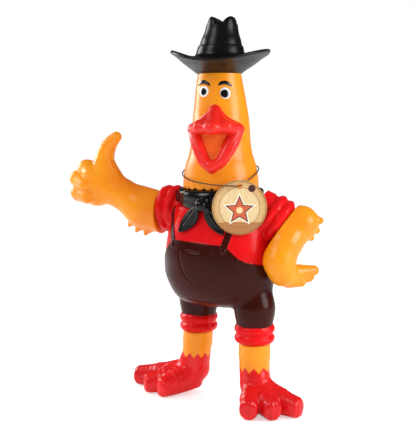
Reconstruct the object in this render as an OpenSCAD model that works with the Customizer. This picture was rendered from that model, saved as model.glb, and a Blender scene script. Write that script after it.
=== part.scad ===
// Cowboy rubber chicken: a squeeze-and-squawk toy of plugged-together hollow vinyl shells.
// The figure faces -Y and stands on Z = 0; the origin is on the floor under the neck.

/* [Body] */
// Height of the torso's widest section
belly_z = 116; // [112:1:120]
// Half width of the torso at its widest
belly_half_width = 44; // [43:0.5:46]
// Half depth of the torso at its widest
belly_half_depth = 36; // [35:0.5:37]
// Vinyl wall thickness
wall = 2.5; // [2:0.1:2.8]

/* [Head and hat] */
// Radius of the neck at its feathered hem
neck_r = 29; // [28.5:0.1:29.5]
// Radius of the head under the hat
crown_r = 16.7; // [16.5:0.1:17.5]
// Height at which the hat sits on the head
hat_z = 262; // [261:0.5:263]
// Half width of the hat brim, side to side
brim_r = 38; // [37:0.5:40]
// Height of the hat's top
hat_top_z = 303; // [301:0.5:305]
// How far the head is turned to the figure's left at rest
head_turn = 10; // [0:1:20]

/* [Joints] */
// Radial running clearance of every plug in its socket
running_gap = 0.05; // [0.03:0.01:0.08]
// Radius of the arm plugs
arm_plug_r = 11; // [10:0.5:11.5]
// Radius of the leg plugs
leg_plug_r = 10; // [9:0.5:10]
// Radius of the neck plug
neck_plug_r = 19; // [18:0.5:19]

/* [Squawker] */
// Outer radius of the squawker housing
squawker_r = 11; // [10:0.5:12]
// Height of the squawker in the seat of the trousers
squawker_z = 104; // [102:1:106]

/* [Hang tag] */
// Radius of the cardboard hang tag
tag_r = 20.5; // [19:0.5:21]
// Diameter of the elastic tag cord
cord_d = 1; // [0.8:0.1:1.2]

/* [Hidden] */

VINYL_YELLOW = "#F7A11A";
VINYL_RED = "#DC2227";
VINYL_BROWN = "#3E1A14";
VINYL_BLACK = "#171515";
TAN_CARD = "#D9B27C";

fine = 64;         // sides of every exact round face
ball_fn = 20;      // sides of the balls that a hull joins
loft_sides = 36;   // sides of a lofted section

// Where each limb leaves the torso: the shoulder or hip point and the limb's direction.
shoulder_z = 154;
right_sleeve_at = [-29, 0, shoulder_z];
right_sleeve_turn = [0, -90, 0];
left_sleeve_at = [34, 0, 156];
left_sleeve_turn = [0, 123, 7];
sleeve_len = 21;
sleeve_r = 15.5;
roll_r = 4;        // radius of each rolled fold of cloth

right_leg_at = [-26, 16, 0];
left_leg_at = [31, -7, 0];
trouser_r = 14.5;
trouser_foot_z = 53;   // lower edge of the rolled cuffs
trouser_hip_z = 92;
ankle_z = 34;
shin_r = 12.6;
right_foot_turn = -62; // each foot points outwards from straight ahead
left_foot_turn = 45;

neck_seat_z = 160;     // top of the torso, which the neck stands on
band_z = 161.6;        // lower edge of the neckerchief's band
band_r = neck_r + 5.5; // outer radius of the neckerchief's band
band_gap = 0.3;        // the torso clears the band by this much
neck_gap = 0.4;        // the neck's hem clears the torso by this much
hem_z = 170;           // the neck is straight below this height
lip = 2;               // how far a plug's retaining lip stands out
lip_h = 2;

tag_facing = 24;       // the tag faces this far towards the figure's left of straight ahead
tag_plane = 37;        // distance of the tag's back from the neck's axis
tag_side = 12.5;       // the tag hangs this far to its own right of the neck's axis
tag_hole_z = 176;
tag_hole_r = 2;
tag_drop = 16;         // the hole's height above the tag's centre
tag_t = 1;

// ---------------------------------------------------------------- lofts

// One closed oval section at height z; p = 2 is an ellipse, more is squarer.
function oval(z, rx, ry, cx = 0, cy = 0, p = 2, n = loft_sides) = [
    for (i = [0 : n - 1])
        let (c = cos(360 * i / n), s = sin(360 * i / n))
        [cx + rx * sign(c) * pow(abs(c), 2 / p), cy + ry * sign(s) * pow(abs(s), 2 / p), z]
];

// Triangles that join m stacked rings of n points, closed at both ends.
function stack_faces(m, n) = concat(
    [for (k = [0 : m - 2], i = [0 : n - 1]) [k * n + i, (k + 1) * n + (i + 1) % n, k * n + (i + 1) % n]],
    [for (k = [0 : m - 2], i = [0 : n - 1]) [k * n + i, (k + 1) * n + i, (k + 1) * n + (i + 1) % n]],
    [[for (i = [0 : n - 1]) i]],
    [[for (i = [n - 1 : -1 : 0]) (m - 1) * n + i]]
);

module loft(rings) {
    polyhedron(
        points = [for (ring = rings) each ring],
        faces = stack_faces(len(rings), len(rings[0])),
        convexity = 6
    );
}

// A rounded bar between two balls, for limbs, fingers and toes.
module bar(a, ra, b, rb) {
    hull() {
        translate(a) sphere(r = ra, $fn = ball_fn);
        translate(b) sphere(r = rb, $fn = ball_fn);
    }
}

// ---------------------------------------------------------------- torso

// Height, half width and half depth of the torso, from the crotch to the neck.
torso_sections = [
    [78, 20, 12], [82, 30, 21], [88, 36.5, 28], [97, 41, 33.5],
    [belly_z - 9, belly_half_width, belly_half_depth],
    [belly_z + 6, belly_half_width, belly_half_depth],
    [134, 42.5, 34], [147, 39.5, 31.5], [156, 36.5, 29.5], [neck_seat_z, 33.5, 27.5]
];

// The torso's outside, or its inside when inset is the wall thickness.
module torso_form(inset = 0) {
    last = len(torso_sections) - 1;
    loft([
        for (k = [0 : last])
            let (
                s = torso_sections[k],
                lift = k == 0 ? inset : k == last ? -inset : 0
            )
            oval(s[0] + lift, s[1] - inset, s[2] - inset, p = 2.2)
    ]);
}

// The two rolled folds of cloth at the open end of a sleeve or trouser leg, which runs along +Z.
module rolls(len, rolls_r) {
    for (back = [roll_r, 2.8 * roll_r])
        translate([0, 0, len - back])
            rotate_extrude($fn = fine)
                translate([rolls_r - roll_r, 0])
                    circle(r = roll_r, $fn = 24);
}

// The socket that a limb's plug turns in: a bore at the mouth, a wider chamber behind it
// for the plug's lip, and an air passage back to the torso's hollow.
module socket(len, plug_r) {
    passage_r = 6;
    chamber = lip_h + 4;
    translate([0, 0, len - mouth_len - 1])
        cylinder(h = mouth_len + 2 + roll_r, r = plug_r + running_gap, $fn = fine);
    translate([0, 0, len - mouth_len - chamber])
        cylinder(h = chamber, r = plug_r + lip + 0.5, $fn = fine);
    cylinder(h = len - mouth_len, r = passage_r, $fn = fine);
}

mouth_len = 7;

module each_sleeve() {
    translate(right_sleeve_at) rotate(right_sleeve_turn) children();
    translate(left_sleeve_at) rotate(left_sleeve_turn) children();
}

module each_trouser_leg() {
    for (at = [right_leg_at, left_leg_at])
        translate([at[0], at[1], trouser_hip_z])
            mirror([0, 0, 1])
                children();
}

// A trouser leg from its cuff up to a ball inside the hip, which it leans in towards.
module trouser_leg(at) {
    hull() {
        translate([at[0], at[1], trouser_foot_z + roll_r])
            cylinder(h = 22, r1 = trouser_r - 0.5, r2 = trouser_r + 1, $fn = 32);
        translate([0.8 * at[0], 0.3 * at[1], trouser_hip_z + 4])
            sphere(r = 8, $fn = ball_fn);
    }
}

trouser_len = trouser_hip_z - trouser_foot_z;

// The prism that the belly panel is cut from, and slides along.
module belly_prism(r) {
    translate([0, 0, belly_z - 8])
        rotate([90, 0, 0])
            cylinder(h = belly_half_depth + 5, r = r, $fn = fine);
}

belly_panel_r = 19;
panel_gap = 0.4;
squawker_boss_r = squawker_r + 3.5;
squawker_face_y = belly_half_depth + 0.6;
squawker_len = 13;

module squawker_axis() {
    translate([0, squawker_face_y, squawker_z])
        rotate([90, 0, 0])
            children();
}

module torso_shell() {
    color(VINYL_RED)
    difference() {
        union() {
            torso_form();
            each_sleeve() {
                cylinder(h = sleeve_len, r = sleeve_r, $fn = fine);
                rolls(sleeve_len, sleeve_r + 3.2);
            }
            each_trouser_leg() rolls(trouser_len, trouser_r + 1.3);
            trouser_leg(right_leg_at);
            trouser_leg(left_leg_at);
            squawker_axis() cylinder(h = squawker_len - 4, r = squawker_boss_r, $fn = fine);
        }
        difference() {
            torso_form(wall);
            squawker_axis() cylinder(h = squawker_len - 4, r = squawker_boss_r, $fn = fine);
        }
        each_sleeve() socket(sleeve_len, arm_plug_r);
        each_trouser_leg() socket(trouser_len, leg_plug_r);
        translate([0, 0, neck_seat_z - 10])
            cylinder(h = 20, r = neck_plug_r + running_gap, $fn = fine);
        belly_prism(belly_panel_r + panel_gap);
        squawker_axis()
            translate([0, 0, -5])
                cylinder(h = squawker_len + 20, r = squawker_r + 0.02, $fn = fine);
        // Room for the neckerchief's band where it crosses the top of a sleeve.
        translate([0, 0, band_z - band_gap])
            cylinder(h = 14, r = band_r + band_gap, $fn = fine);
    }
}

module belly_panel() {
    color(VINYL_BROWN)
    intersection() {
        difference() {
            torso_form();
            torso_form(wall);
        }
        belly_prism(belly_panel_r);
    }
}

// ---------------------------------------------------------------- head

// Radius and height of the neck and head, from the hem up to the hat.
neck_outline = [
    [neck_r - 0.4, neck_seat_z + neck_gap], [neck_r, hem_z], [neck_r - 0.3, 179], [neck_r - 2, 189],
    [24.4, 197], [22.8, 206], [21.4, 224], [18.9, 246], [crown_r, hat_z]
];

// The neck and head's outside, with the plug below the hem and the stud that the hat sits on.
module head_outside() {
    stud_r = 10;
    stud_h = 6;
    rotate_extrude($fn = fine)
        polygon(concat(
            [[0, neck_seat_z - plug_drop], [neck_plug_r + lip, neck_seat_z - plug_drop],
             [neck_plug_r + lip, neck_seat_z - plug_drop + lip_h],
             [neck_plug_r, neck_seat_z - plug_drop + lip_h],
             [neck_plug_r, neck_seat_z + neck_gap]],
            neck_outline,
            [[stud_r, hat_z], [stud_r, hat_z + stud_h], [0, hat_z + stud_h]]
        ));
}

plug_drop = 8;         // how far the neck's plug reaches down into the torso

module head_hollow() {
    inner_floor_z = neck_seat_z + neck_gap + wall;
    rotate_extrude($fn = fine)
        polygon(concat(
            [[0, neck_seat_z - 20], [neck_plug_r - wall, neck_seat_z - 20],
             [neck_plug_r - wall, inner_floor_z]],
            [for (q = neck_outline)
                [q[0] - wall, max(q[1], inner_floor_z) - (q[1] == hat_z ? wall : 0)]],
            [[0, hat_z - wall]]
        ));
}

// The open beak: a wide tent over a pointed scoop, with the mouth's opening between them.
module beak() {
    beak_z = 213;
    difference() {
        union() {
            hull() {
                translate([0, -18, beak_z + 19]) sphere(r = 4, $fn = ball_fn);
                translate([0, -34, beak_z + 6]) sphere(r = 4, $fn = ball_fn);
                for (side = [-1, 1])
                    translate([17.5 * side, -16, beak_z + 5]) sphere(r = 4, $fn = ball_fn);
            }
            hull() {
                for (side = [-1, 1])
                    translate([16 * side, -17, beak_z]) sphere(r = 3.5, $fn = ball_fn);
                translate([0, -29.5, beak_z - 22]) sphere(r = 4, $fn = ball_fn);
                translate([0, -25, beak_z - 26]) sphere(r = 4, $fn = ball_fn);
            }
        }
        translate([0, -32, beak_z + 1])
            rotate([90, 0, 0])
                linear_extrude(height = 40, center = true)
                    polygon([[-10, 0], [10, 0], [0, -21]]);
    }
}

// The mouth's floor is the face's own wall, so the head stays airtight.
module head_shell() {
    color(VINYL_YELLOW)
    rotate([0, 0, head_turn])
    difference() {
        union() {
            head_outside();
            beak();
        }
        head_hollow();
    }
}

// ---------------------------------------------------------------- hat

// The brim rolls up at the sides; turn is the angle from the figure's left side.
function brim_reach(turn) = brim_r - 2 * pow(sin(turn), 2);
function brim_lift(turn) = 7 * pow(cos(turn), 2);

// The crown's top: two ridges at the sides of a crease that runs front to back.
crease_half = 7;
crease_depth = 5;
function crown_z(x) = hat_top_z - (
    abs(x) < crease_half
        ? crease_depth * pow(1 - abs(x) / crease_half, 1.3)
        : 0.12 * pow(abs(x) - crease_half, 2)
);

// A ring of the hat: reach and height may both follow the angle.
function hat_ring(r, z, lift = 0, spread = 0) = [
    for (i = [0 : loft_sides - 1])
        let (
            turn = 360 * i / loft_sides,
            reach = r + spread * (brim_reach(turn) - r)
        )
        [reach * cos(turn), reach * sin(turn), z + lift * brim_lift(turn)]
];

// A ring of the crown's creased top, with the given radius.
function crown_ring(r, under = 0) = [
    for (i = [0 : loft_sides - 1])
        let (turn = 360 * i / loft_sides)
        [r * cos(turn), r * sin(turn), crown_z(r * cos(turn)) - under]
];

module hat() {
    brim_z = 270.5;
    color(VINYL_BLACK)
    rotate([0, 0, head_turn])
    difference() {
        loft([
            hat_ring(crown_r + 0.6, hat_z),
            hat_ring(28, brim_z - 4.5, 0.35),
            hat_ring(brim_r, brim_z - 1, 1, 1),
            hat_ring(brim_r, brim_z + 1.2, 1, 1),
            hat_ring(27, brim_z + 1.5, 0.35),
            hat_ring(18.6, brim_z + 3.2),
            hat_ring(16.4, brim_z + 9),
            hat_ring(14, brim_z + 15),
            hat_ring(12.3, brim_z + 21),
            crown_ring(11.4, 4),
            crown_ring(10, 1),
            crown_ring(6),
            crown_ring(2)
        ]);
        translate([0, 0, hat_z - 5])
            cylinder(h = 11.2, r = 10 + running_gap, $fn = fine);
    }
}

// ---------------------------------------------------------------- neckerchief

// A leaf-shaped tail of cloth from the knot to its tip, widest in the middle.
module tail(root, tip, half_width) {
    middle = (root + tip) / 2;
    hull() {
        translate(root) sphere(r = 2, $fn = ball_fn);
        translate(middle - [half_width, -1, 0]) sphere(r = 1.4, $fn = ball_fn);
        translate(middle + [half_width, 1, 0]) sphere(r = 1.4, $fn = ball_fn);
        translate(tip) sphere(r = 1.2, $fn = ball_fn);
    }
}

module neckerchief() {
    color(VINYL_BLACK)
    union() {
        rotate_extrude($fn = fine)
            polygon([
                [neck_r + 0.5, band_z], [band_r - 1, band_z + 0.2], [band_r, band_z + 3.8],
                [band_r - 0.7, band_z + 8], [band_r - 3, band_z + 10], [neck_r + 0.5, band_z + 9.8]
            ]);
        hull() {
            translate([-1, -34.6, 164]) sphere(r = 5, $fn = ball_fn);
            translate([-1, -34.6, 158.5]) sphere(r = 4, $fn = ball_fn);
        }
        tail([-5, -34.6, 158], [-20, -32.2, 140], 4.5);
        tail([2, -34.6, 158], [14, -32.9, 139], 4.5);
    }
}

// ---------------------------------------------------------------- arms

// The plug on an arm's or leg's end: it stands back (-Z) from the limb into its socket.
module plug(plug_r) {
    translate([0, 0, -mouth_len - lip_h - 1.3]) {
        cylinder(h = mouth_len + lip_h + 2.3, r = plug_r, $fn = fine);
        cylinder(h = lip_h, r = plug_r + lip, $fn = fine);
    }
}

// Everything a thumbs-up hand is made of, drawn from the sleeve's end along the arm.
module right_arm() {
    start = right_sleeve_at + [-sleeve_len - 1, 0, 0];
    wrist = [-84, -10, 169];
    palm = [-104, -14, 175];
    color(VINYL_YELLOW)
    difference() {
        union() {
            intersection() {
                bar(start + [2, 0, -1], 17, wrist, 11);
                translate(start - [100, 50, 50]) cube([100, 100, 100]);
            }
            translate(start) rotate(right_sleeve_turn) plug(arm_plug_r);
            // Feathered underside of the forearm.
            hull() {
                for (tip = [[-58, -6, 137], [-66, -8, 138], [-75, -10, 143]])
                    translate(tip) sphere(r = 2.5, $fn = ball_fn);
                translate([-62, -6, 152]) sphere(r = 7, $fn = ball_fn);
                translate(wrist - [0, 0, 4]) sphere(r = 6, $fn = ball_fn);
            }
            bar(wrist, 11, palm, 14.5);
            // Curled fingers and the raised thumb.
            for (k = [-1 : 1])
                bar(palm + [-4, -8, 11 * k], 6, palm + [abs(k) * 5 - 16, 0, 11 * k], 6);
            bar(palm + [8, -2, 10], 8.5, [-80, -16, 210], 4.8);
        }
        translate(start + [-30, 0, 0])
            rotate([0, 90, 0])
                cylinder(h = 60, r = arm_plug_r - wall, $fn = fine);
    }
}

// The bent arm with its hand on the hip.
module left_arm() {
    elbow = [70, 8, 141];
    wrist = [54.5, -11, 117];
    color(VINYL_YELLOW)
    difference() {
        union() {
            translate(left_sleeve_at)
                rotate(left_sleeve_turn) {
                    translate([0, 0, sleeve_len + 1]) plug(arm_plug_r);
                    translate([0, 0, sleeve_len + 0.6]) cylinder(h = 7, r1 = 15.5, r2 = 14, $fn = fine);
                }
            bar([60, 3, 140.5], 13, elbow, 12);
            bar(elbow - [3, 2, 3], 12, wrist, 10);
            // Feathers behind the elbow.
            hull() {
                for (tip = [[79, 14, 147], [80, 14, 139], [76, 12, 131]])
                    translate(tip) sphere(r = 2, $fn = ball_fn);
                translate(elbow) sphere(r = 9, $fn = ball_fn);
            }
            bar(wrist, 10, [56, -6, 104], 10);
            for (k = [0 : 1])
                bar([59, 0, 105 - 6 * k], 6.5, [72 - 3 * k, 20 - 2 * k, 106 - 7 * k], 4.8);
        }
        translate(left_sleeve_at)
            rotate(left_sleeve_turn)
                cylinder(h = sleeve_len + 16, r = arm_plug_r - wall, $fn = fine);
    }
}

// ---------------------------------------------------------------- legs

// Turn, length and height of each toe's ball, from the inner to the outer one.
right_toes = [[-27, 33, 6], [0, 38, 6], [39, 56, 8]];
left_toes = [[-33, 30, 6], [0, 33, 6], [38, 38, 7]];
toe_r = 6.8;

// A shin with its plug and a three-toed foot; side is -1 for a foot whose outer toe is at -X.
module leg(at, turn, toes, side) {
    heel = [0, 4, 9];
    color(VINYL_RED)
    translate(at)
        rotate([0, 0, turn])
            intersection() {
                difference() {
                    union() {
                        translate([0, 0, ankle_z - 14])
                            cylinder(h = trouser_foot_z - ankle_z + 13.4, r1 = shin_r - 1, r2 = shin_r, $fn = fine);
                        translate([0, 0, trouser_foot_z])
                            mirror([0, 0, 1])
                                plug(leg_plug_r);
                        bar([0, 0, 24], 11.6, heel, 9.6);
                        for (toe = toes)
                            bar([0, -4, 16], 11,
                                [side * toe[1] * sin(toe[0]), -toe[1] * cos(toe[0]), toe[2]], toe_r);
                    }
                    translate([0, 0, 12])
                        cylinder(h = 80, r = leg_plug_r - wall, $fn = fine);
                }
                translate([-60, -60, 0]) cube([120, 120, 120]);
            }
}

module right_leg() {
    leg(right_leg_at, right_foot_turn, right_toes, -1);
}

module left_leg() {
    leg(left_leg_at, left_foot_turn, left_toes, 1);
}

// ---------------------------------------------------------------- squawker

flange_h = 1.2;
tube_wall = 1.6;
seat_z = 3;          // depth of the reed seat's flange behind the outer face
reed_len = 8;
reed_w = 5;
reed_t = 0.3;
reed_bead_r = 0.4;   // rolled bead that the reed flexes about

module squawker_housing() {
    color("ivory")
    squawker_axis()
        difference() {
            union() {
                translate([0, 0, -flange_h]) cylinder(h = flange_h, r = squawker_r + 2, $fn = fine);
                translate([0, 0, -flange_h]) cylinder(h = squawker_len + flange_h, r = squawker_r, $fn = fine);
            }
            translate([0, 0, -flange_h - 1])
                cylinder(h = seat_z + flange_h + 1, r = squawker_r - tube_wall, $fn = fine);
            cylinder(h = squawker_len - 1.2, r = squawker_r - tube_wall - 1, $fn = fine);
            // Air holes through the inner wall.
            for (k = [0 : 5])
                rotate(60 * k)
                    translate([5.5, 0, squawker_len - 3])
                        cylinder(h = 5, r = 1.5, $fn = fine);
        }
}

module squawker_reed_seat() {
    color("ivory")
    squawker_axis()
        difference() {
            union() {
                translate([0, 0, seat_z - 1.2])
                    cylinder(h = 1.2, r = squawker_r - tube_wall - 0.02, $fn = fine);
                intersection() {
                    translate([0, 0, seat_z - 0.1]) cylinder(h = reed_len + 0.6, r = 4, $fn = fine);
                    translate([-5, -5, 0]) cube([10, 5, squawker_len]);
                }
            }
            // The half-round air channel that the reed closes.
            intersection() {
                translate([0, 0, -1]) cylinder(h = seat_z + reed_len - 0.8, r = 2.6, $fn = fine);
                translate([-5, -5, -2]) cube([10, 5.01, squawker_len + 4]);
            }
        }
}

module squawker_reed() {
    color("goldenrod")
    squawker_axis()
        translate([-reed_w / 2, 0.05, seat_z + 0.1])
            union() {
                translate([0, 0, 0.5]) cube([reed_w, reed_t, reed_len - 0.5]);
                translate([0, reed_bead_r, 0.5])
                    rotate([0, 90, 0])
                        cylinder(h = reed_w, r = reed_bead_r, $fn = fine);
            }
}

module squawker_cap() {
    color("ivory")
    squawker_axis()
        translate([0, 0, -flange_h + 0.2])
            difference() {
                cylinder(h = 1.2, r = squawker_r - tube_wall - 0.02, $fn = fine);
                for (k = [0 : 5])
                    rotate(60 * k)
                        translate([5.2, 0, -1])
                            cylinder(h = 4, r = 1.3, $fn = fine);
                translate([0, 0, -1]) cylinder(h = 4, r = 1.3, $fn = fine);
            }
}

// ---------------------------------------------------------------- hang tag

// The tag's own frame: origin at the hole's back, +Z out of its printed face.
module tag_frame() {
    translate([
        tag_plane * sin(tag_facing) + tag_side * cos(tag_facing),
        -tag_plane * cos(tag_facing) + tag_side * sin(tag_facing),
        tag_hole_z
    ])
        rotate([90, 0, tag_facing])
            children();
}

module hang_tag() {
    color(TAN_CARD)
    tag_frame()
        difference() {
            translate([0, -tag_drop, 0]) cylinder(h = tag_t, r = tag_r, $fn = fine);
            translate([0, 0, -1]) cylinder(h = tag_t + 2, r = tag_hole_r, $fn = fine);
        }
}

// The cord runs round the neck and through the tag's hole, from the knot back to the knot.
cord_route = [
    [1, 29.6, 190], [-12, 27, 189.5], [-22, 20, 188.5], [-28.3, 10, 187], [-29.6, -2, 185.5],
    [-27, -13, 183], [-20.6, -22, 180.5], [-10.5, -29, 178.5], [2, -33.5, 177.2],
    [13, -36.6, 176.6], [22, -33.8, 176.2], [26.6, -29.8, 176], [28, -23.6, 177.6],
    [30.2, -12, 181.5], [29.6, 2, 185], [26, 14, 187.6], [17, 24.4, 189.2], [7, 29, 190]
];

// A smooth curve through three neighbouring route points and the one after them.
function blend_point(a, b, c, d, t) =
    0.5 * (2 * b + (c - a) * t + (2 * a - 5 * b + 4 * c - d) * t * t
        + (3 * b - a - 3 * c + d) * t * t * t);

cord_steps = 4;
cord_sides = 8;
function cord_points() = let (n = len(cord_route)) [
    for (k = [0 : n - 1], j = [0 : cord_steps - 1])
        blend_point(
            cord_route[(k + n - 1) % n], cord_route[k],
            cord_route[(k + 1) % n], cord_route[(k + 2) % n], j / cord_steps
        )
];

module tag_cord() {
    line = cord_points();
    n = len(line);
    points = [
        for (k = [0 : n - 1])
            let (
                along = line[(k + 1) % n] - line[(k + n - 1) % n],
                ahead = along / norm(along),
                side = cross(ahead, [0, 0, 1]),
                across = side / norm(side),
                up = cross(across, ahead)
            )
            for (i = [0 : cord_sides - 1])
                line[k] + cord_d / 2 * (cos(360 * i / cord_sides) * across + sin(360 * i / cord_sides) * up)
    ];
    faces = [
        for (k = [0 : n - 1], i = [0 : cord_sides - 1])
            let (
                a = k * cord_sides + i,
                b = k * cord_sides + (i + 1) % cord_sides,
                c = ((k + 1) % n) * cord_sides + (i + 1) % cord_sides,
                d = ((k + 1) % n) * cord_sides + i
            )
            each [[a, b, c], [a, c, d]]
    ];
    color(VINYL_BLACK)
    polyhedron(points = points, faces = faces, convexity = 8);
}

module tag_cord_knot() {
    color(VINYL_BLACK)
    translate([1, 31.4, 190])
        sphere(r = 1.3, $fn = 24);
}

// ---------------------------------------------------------------- assembly

torso_shell();
belly_panel();
head_shell();
hat();
neckerchief();
right_arm();
left_arm();
right_leg();
left_leg();
squawker_housing();
squawker_reed_seat();
squawker_reed();
squawker_cap();
tag_cord();
tag_cord_knot();
hang_tag();
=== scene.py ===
"""Cowboy rubber chicken: the visual model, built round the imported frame.

Shapes are worked out in millimetres and become metres when a mesh is made. The figure faces -Y,
stands on Z = 0, and its left side is at +X. Each moulded piece is a distance field, negative
inside the vinyl, that is turned into a mesh of quads.
"""

import math

import bpy
import numpy as np
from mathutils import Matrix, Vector


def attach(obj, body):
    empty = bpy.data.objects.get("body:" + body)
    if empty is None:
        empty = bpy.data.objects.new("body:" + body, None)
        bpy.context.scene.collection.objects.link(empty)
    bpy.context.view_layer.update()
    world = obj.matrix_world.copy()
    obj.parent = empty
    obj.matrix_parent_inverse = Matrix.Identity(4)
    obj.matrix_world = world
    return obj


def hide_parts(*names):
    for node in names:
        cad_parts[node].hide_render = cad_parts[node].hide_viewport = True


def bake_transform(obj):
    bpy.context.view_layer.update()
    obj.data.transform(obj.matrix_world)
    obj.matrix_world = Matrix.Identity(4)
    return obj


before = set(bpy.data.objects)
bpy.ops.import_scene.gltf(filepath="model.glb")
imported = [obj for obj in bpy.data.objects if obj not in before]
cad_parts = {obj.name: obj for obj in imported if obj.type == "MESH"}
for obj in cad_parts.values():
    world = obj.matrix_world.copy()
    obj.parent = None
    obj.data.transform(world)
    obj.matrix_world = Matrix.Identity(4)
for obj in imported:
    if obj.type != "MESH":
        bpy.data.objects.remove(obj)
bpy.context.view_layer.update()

MM = 0.001
GRID = 0.8  # mm between the grid points that a piece is sampled at
BLOCK = 4  # grid cells along the side of a block

# ---- sizes shared with the CAD model

HEAD_TURN = math.radians(10)
NECK_SEAT_Z = 160.0
HAT_Z = 262.0
HAT_TOP_Z = 303.0
BAND_R = 34.5  # outer radius of the neckerchief's band
BAND_Z = 161.6  # its lower edge
BAND_TOP_Z = 171.6
BAND_INNER_R = 29.3

# Height, half width and half depth of the torso.
TORSO_SECTIONS = [
    (78, 20, 12), (82, 30, 21), (88, 36.5, 28), (97, 41, 33.5), (107, 44, 36),
    (122, 44, 36), (134, 42.5, 34), (147, 39.5, 31.5), (156, 36.5, 29.5), (160, 33.5, 27.5),
]
TORSO_POWER = 2.2  # 2 is an ellipse, more is squarer

# Height and radius of the neck and head.
NECK_OUTLINE = [
    (160.4, 28.6), (170, 29), (179, 28.7), (189, 27), (197, 24.4),
    (206, 22.8), (224, 21.3), (246, 18.3), (262, 15.8),
]

SLEEVE_LEN = 21.0
SLEEVE_R = 15.5
ROLL_R = 4.0
ARM_PLUG_R = 11.0
LEG_PLUG_R = 10.0
PLUG_ROOM = 0.4  # how far a socket's wall stays clear of its plug
RIGHT_SLEEVE_AT = (-29.0, 0.0, 154.0)
RIGHT_SLEEVE_WAY = (-1.0, 0.0, 0.0)
LEFT_SLEEVE_AT = (34.0, 0.0, 156.0)
LEFT_SLEEVE_WAY = (0.8324, 0.1022, -0.5446)
RIGHT_LEG_AT = (-26.0, 16.0)
LEFT_LEG_AT = (31.0, -7.0)
CUFF_Z = 53.0
TROUSER_R = 14.5
SQUAWKER_Z = 104.0
SQUAWKER_FACE_Y = 36.6
SQUAWKER_BOSS_R = 14.4
SQUAWKER_BORE_R = 11.3

TAG_FACING = math.radians(24)
TAG_PLANE = 37.0  # how far the card's back is from the figure's middle
TAG_SIDE = 12.5  # how far the hole is to the side on that plane
TAG_HOLE_Z = 176.0
TAG_HOLE_R = 2.0
TAG_R = 20.5
TAG_DROP = 16.0  # from the hole down to the card's middle
TAG_T = 1.0

# The closed loop that the tag's cord follows round the neck, from its knot.
CORD_ROUTE = [
    (1, 29.6, 190), (-12, 27, 189.5), (-22, 20, 188.5), (-28.3, 10, 187), (-29.6, -2, 185.5),
    (-27, -13, 183), (-20.6, -22, 180.5), (-10.5, -29, 178.5), (2, -33.5, 177.2),
    (13, -36.6, 176.6), (22, -33.8, 176.2), (26.6, -29.8, 176), (28, -23.6, 177.6),
    (30.2, -12, 181.5), (29.6, 2, 185), (26, 14, 187.6), (17, 24.4, 189.2), (7, 29, 190),
]
CORD_D = 1.0
KNOT_AT = (1.0, 31.4, 190.0)


# ---- camera


def make_camera():
    """A long lens at the photograph's angle, a little to the figure's left."""
    azimuth = math.radians(22)
    distance, height, aim_height = 0.700, 0.228, 0.152
    data = bpy.data.cameras.new("camera")
    data.sensor_fit = "HORIZONTAL"
    data.sensor_width = 36.0
    data.lens = 77.7
    data.shift_x = -0.031
    data.shift_y = -0.005
    camera = bpy.data.objects.new("camera", data)
    camera.location = (distance * math.sin(azimuth), -distance * math.cos(azimuth), height)
    aim = Vector((0, 0, aim_height)) - camera.location
    camera.rotation_euler = aim.to_track_quat("-Z", "Y").to_euler()
    bpy.context.scene.collection.objects.link(camera)
    bpy.context.scene.camera = camera


# ---- distance fields


def vec(values):
    """An array of single-precision numbers."""
    return np.asarray(values, np.float32)


def join(a, b, k=0.0):
    """The nearer of two fields, with a fillet about k wide where they meet."""
    if k <= 0:
        return np.minimum(a, b)
    h = np.maximum(k - np.abs(a - b), 0) / k
    return np.minimum(a, b) - h * h * k / 4


def both(a, b, k=0.0):
    """Where two fields overlap, with a rounded edge about k wide."""
    return -join(-a, -b, k)


def step_up(x, low, high):
    """0 below low, 1 above high, smooth between."""
    t = np.clip((x - low) / (high - low), 0, 1)
    return t * t * (3 - 2 * t)


def bump(x, width):
    """1 at x = 0, falling smoothly to nothing over a few widths."""
    return np.exp(-((x / width) ** 2))


def ball(p, centre, r):
    """A ball's distance field."""
    return np.linalg.norm(p - vec(centre), axis=1) - r


def bar(p, start, start_r, end, end_r):
    """A round bar between two balls."""
    start, end = vec(start), vec(end)
    along = end - start
    t = np.clip((p - start) @ along / (along @ along), 0, 1)
    nearest = start + t[:, None] * along
    return np.linalg.norm(p - nearest, axis=1) - (start_r + (end_r - start_r) * t)


def limb(p, balls, k=2.0):
    """Bars through a row of (x, y, z, radius) balls."""
    field = None
    for a, b in zip(balls, balls[1:]):
        piece = bar(p, a[:3], a[3], b[:3], b[3])
        field = piece if field is None else join(field, piece, k)
    return field


def panel(p, a, b, c, r):
    """A flat three-cornered panel with rounded edges, 2 * r thick."""
    a, b, c = vec(a), vec(b), vec(c)
    flat = np.cross(b - a, c - a)
    off_plane = ((p - a) @ flat) ** 2 / (flat @ flat)
    off_edge, over = None, np.ones(len(p), bool)
    for start, end in ((a, b), (b, c), (c, a)):
        along = end - start
        q = p - start
        over &= q @ np.cross(flat, along) > 0
        t = np.clip(q @ along / (along @ along), 0, 1)
        gap = ((q - t[:, None] * along) ** 2).sum(1)
        off_edge = gap if off_edge is None else np.minimum(off_edge, gap)
    return np.sqrt(np.where(over, off_plane, off_edge)) - r


def with_limbs(field, p, limbs, k):
    """The field with limbs joined on to it."""
    for balls in limbs:
        field = join(field, limb(p, balls, k), k)
    return field


def polyline_distance(u, v, points):
    """Distance in a plane from (u, v) to a line through points."""
    best = None
    for (u0, v0), (u1, v1) in zip(points, points[1:]):
        du, dv = u1 - u0, v1 - v0
        t = np.clip(((u - u0) * du + (v - v0) * dv) / (du * du + dv * dv), 0, 1)
        d = np.hypot(u - u0 - t * du, v - v0 - t * dv)
        best = d if best is None else np.minimum(best, d)
    return best


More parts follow.
